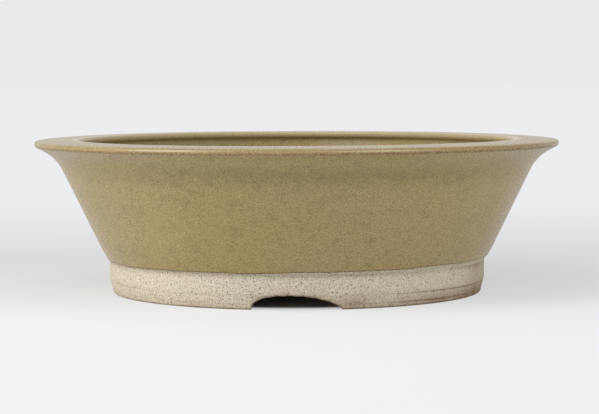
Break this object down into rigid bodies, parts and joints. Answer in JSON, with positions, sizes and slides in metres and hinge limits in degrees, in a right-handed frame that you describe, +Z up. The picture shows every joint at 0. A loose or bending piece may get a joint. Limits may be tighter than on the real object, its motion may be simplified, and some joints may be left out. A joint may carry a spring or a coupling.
{
  "type": "ikebana suiban",
  "caption": "Round, low flower basin of olive-glazed stoneware with a broad flat lip, on a bare foot ring with arches, holding a lift-out needle frog.",
  "frame": {"origin": "centre of the foot ring's resting face, at ground level", "axes": "+Z up along the vessel's axis, -Y towards the front, where the middle of the front arch is, +X to the right seen from the front"},
  "size_m": [0.3, 0.3, 0.0877],
  "materials": {
    "bare_stoneware": "unglazed, speckled and slightly rough",
    "olive_glaze": "satin ash glaze with fine specks, brown where it thins on edges",
    "black_rubber": "matt",
    "cast_lead": "dull cast grey",
    "brass": "drawn wire, bright"
  },
  "bodies": {
    "vessel": {"basin": "bare_stoneware", "foot_ring": "bare_stoneware", "outside_glaze": "olive_glaze", "inside_glaze": "olive_glaze"},
    "kenzan": {"kenzan_rubber_ring": "black_rubber", "kenzan_base": "cast_lead", "kenzan_needles": "brass"}
  },
  "joints": [
    {"name": "kenzan_lift", "type": "slide", "parent": "vessel", "child": "kenzan", "axis": [0, 0, 1], "range_m": [0, 0.08]}
  ]
}
